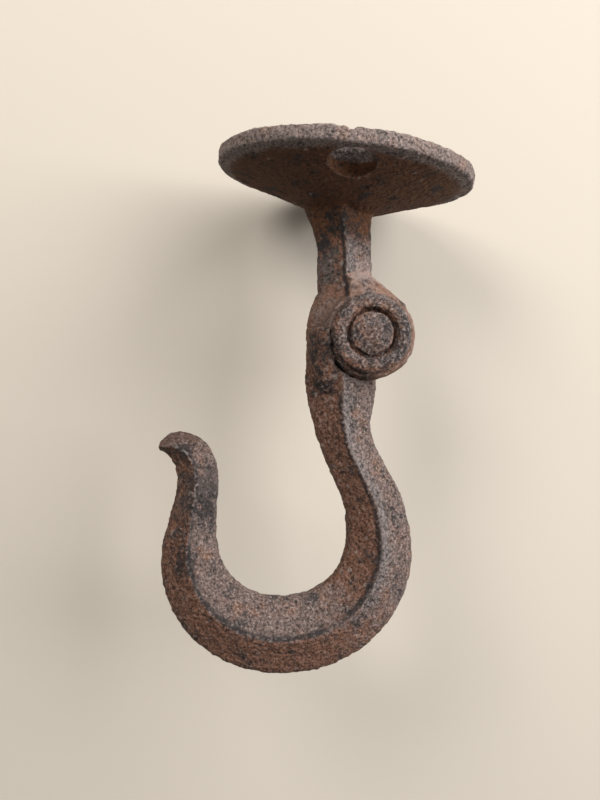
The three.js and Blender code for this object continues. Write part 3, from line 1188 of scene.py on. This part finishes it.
@dataclass
class Rivet(Piece):
    """The hinge pin with a low round head formed at each end."""

    dome: float = 0.3
    voxel: float = 0.25

    def head(self) -> Solid:
        """Make one head, sunk in its cup and slightly domed."""
        sizes = self.knuckle
        seat = sizes.cup_front - sizes.recess_depth + sizes.gap
        radius, front = sizes.head_radius, sizes.cup_front
        return turned([(radius, seat), (radius, front - 0.35), (radius * 0.88, front),
                       (radius * 0.4, front + self.dome * 0.8), (radius * 0.1, front + self.dome)], FEW)

    def build(self) -> None:
        """Join the pin and its heads and give them their skin."""
        sizes = self.knuckle
        reach = sizes.cup_front - sizes.recess_depth + sizes.gap + 0.5
        pin = self.plane.put_on_pin(cylinder(sizes.pin_radius, -reach, reach, FEW))
        pin.name = "hinge_rivet"
        for side in Side:
            self.on_pin(pin, self.head(), Cut.JOIN, side)
        skin = SandSkin(wave_depth=0.1, lump_size=1.5, lump_depth=0.4, grain_size=0.7, grain_depth=0.4)
        self.keep(pin, self.voxel, 3, skin, None)

    def dress(self) -> None:
        """Give the rivet its finish and tie it to the mount."""
        self.finish.put_on(self.piece)
        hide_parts("rivet")
        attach(self.piece, Body.MOUNT.value)


# ---- the setting


@dataclass
class Studio:
    """A pale floor that the hook lies on, soft lights and the camera above it."""

    camera_place: Place = (-0.01120, -0.20004, -0.05487)
    camera_turn: Place = (89.625, -5.818, -1.664)
    lens: float = 38.25
    floor_colour: Colour = (0.50, 0.455, 0.395, 1)
    floor_size: float = 3.0
    floor_back: float = 0.0306
    floor_slope: tuple[float, float] = (23.6, 111.0)
    world_light: float = 0.25

    def camera(self) -> None:
        """Set up the camera."""
        data = bpy.data.cameras.new("camera")
        data.lens = self.lens
        data.sensor_width = 36
        data.clip_start = 0.005
        data.clip_end = 20
        eye = bpy.data.objects.new("camera", data)
        eye.location = self.camera_place
        eye.rotation_euler = Euler([math.radians(angle) for angle in self.camera_turn])
        bpy.context.scene.collection.objects.link(eye)
        bpy.context.scene.camera = eye

    def floor(self) -> None:
        """Lay the floor against the plate's rim and the hook's back."""
        deselect_all()
        bpy.ops.mesh.primitive_plane_add(size=self.floor_size)
        floor = bpy.context.object
        floor.name = "floor"
        slope = math.atan2(*self.floor_slope)
        floor.rotation_euler = Euler((math.pi / 2 + slope, 0, 0))
        floor.location = (0, self.floor_back, 0)
        settle(floor)
        material = bpy.data.materials.new("pale_floor")
        material.use_nodes = True
        bench = NodeBench(material.node_tree)
        shader = bench.add("ShaderNodeBsdfPrincipled")
        shader.inputs["Base Color"].default_value = self.floor_colour
        shader.inputs["Roughness"].default_value = 0.9
        clear = bench.add("ShaderNodeBsdfTransparent")
        choose = bench.add("ShaderNodeMixShader")
        bench.wire(bench.add("ShaderNodeNewGeometry").outputs["Backfacing"], choose.inputs[0])
        bench.wire(shader.outputs["BSDF"], choose.inputs[1])
        bench.wire(clear.outputs["BSDF"], choose.inputs[2])
        finish = bench.add("ShaderNodeOutputMaterial")
        bench.wire(choose.outputs["Shader"], finish.inputs["Surface"])
        floor.data.materials.append(material)

    def lamp(self, name: str, place: Place, size: float, power: float,
             colour: tuple[float, float, float]) -> None:
        """Hang one soft lamp that faces the hook.

        Args:
            name: The lamp's name.
            place: Where it hangs, in metres.
            size: The side of its square face, in metres.
            power: Its power in watts.
            colour: The colour of its light.
        """
        data = bpy.data.lights.new(name, "AREA")
        data.size = size
        data.energy = power
        data.color = colour
        lamp = bpy.data.objects.new(name, data)
        lamp.location = place
        toward = Vector((0, 0, -0.06)) - Vector(place)
        lamp.rotation_euler = toward.to_track_quat("-Z", "Y").to_euler()
        bpy.context.scene.collection.objects.link(lamp)

    def light(self) -> None:
        """Set up the lamps and the soft light from all round."""
        self.lamp("window", (0.62, -0.50, 0.32), 0.8, 19.5, (1.0, 0.98, 0.96))
        self.lamp("lamp", (-0.35, -0.55, 0.30), 0.3, 4.0, (1.0, 0.95, 0.88))
        world = bpy.data.worlds.new("soft_light")
        world.use_nodes = True
        world.node_tree.nodes["Background"].inputs["Color"].default_value = (1.0, 0.985, 0.96, 1)
        world.node_tree.nodes["Background"].inputs["Strength"].default_value = self.world_light
        bpy.context.scene.world = world
        bpy.context.scene.view_settings.view_transform = "Standard"

    def build(self) -> None:
        """Set up everything that isn't part of the object."""
        self.camera()
        self.floor()
        self.light()


def main() -> None:
    """Build the setting and every piece, in order."""
    logging.basicConfig(level=logging.INFO, format="%(message)s")
    Studio().build()
    for make_group in (sand_grain_group, patches_group, wear_group, ridge_group, collar_group, stain_or_shade_group,
                       plate_zones_group):
        make_group()
    plane = StemPlane()
    knuckle = Knuckle()
    pin = plane.pin()
    rust = (0.225, 0.122, 0.082, 1)
    lip = (0.25, 0.12, 0.075, 1)
    earth = (0.085, 0.042, 0.027, 1)
    # Painted shade: the colour of the patches on the left arm.
    arm_shade = (0.046, 0.037, 0.035, 1)
    ash = (0.185, 0.130, 0.112, 1)
    bare = (0.330, 0.255, 0.232, 1)
    slate = (0.105, 0.086, 0.081, 1)
    mount = CastIron("mount_iron", pin, collars=(Collar(9.0, 15, rust, 0.9, 0.7),), plate=True, stains_and_shade=(
        StainOrShade((-1, -5, -36), 12, ash, 0.8), StainOrShade((-4, -4, -25), 13, slate, 0.85), StainOrShade((0, -4, -15), 10),
        # The last patch on this line and the one on the next are painted shadow: they darken the lower part
        # of the front ear, below the cup.
        StainOrShade((-5, -3, -20), 8), StainOrShade((7, -5, -26), 10, bare, 0.7), StainOrShade((3, -7, -50), 8),
        StainOrShade((9, -7, -51), 6, share=0.8),
    ))
    hook = CastIron("hook_iron", pin, stains_and_shade=(
        StainOrShade((-1, -6, -44), 11), StainOrShade((-2, -6, -53), 10), StainOrShade((-33, -3, -67), 17, earth),
        # The second patch on this line and both patches on the next are painted shade, darkening the left
        # arm's inner side where less light falls.
        StainOrShade((-31, -5, -70), 7, share=0.8), StainOrShade((-26, -4, -80), 18, arm_shade, 0.8),
        StainOrShade((-28, -5, -96), 9, share=0.8), StainOrShade((-24, -5, -84), 9, share=0.8),
    ))
    dull = (0.098, 0.073, 0.068, 1)
    cup = CastIron("cup_iron", pin, dull, collars=(Collar(4.6, 6.2, lip, 0.7),), black_share=0.45)
    head = CastIron("rivet_iron", pin, dull, collars=(Collar(4.1, 5.4, lip, 0.6),), black_share=0.45)
    pieces = [
        MountCasting(plane, knuckle, mount),
        HookCasting(plane, knuckle, hook),
        CupWasher(plane, knuckle, cup, Side.FRONT),
        CupWasher(plane, knuckle, cup, Side.BACK),
        Rivet(plane, knuckle, head),
    ]
    for part in pieces:
        part.build()
        part.dress()
        log.info("%s: %d faces", part.piece.name, len(part.piece.data.polygons))


if __name__ == "__main__":
    main()
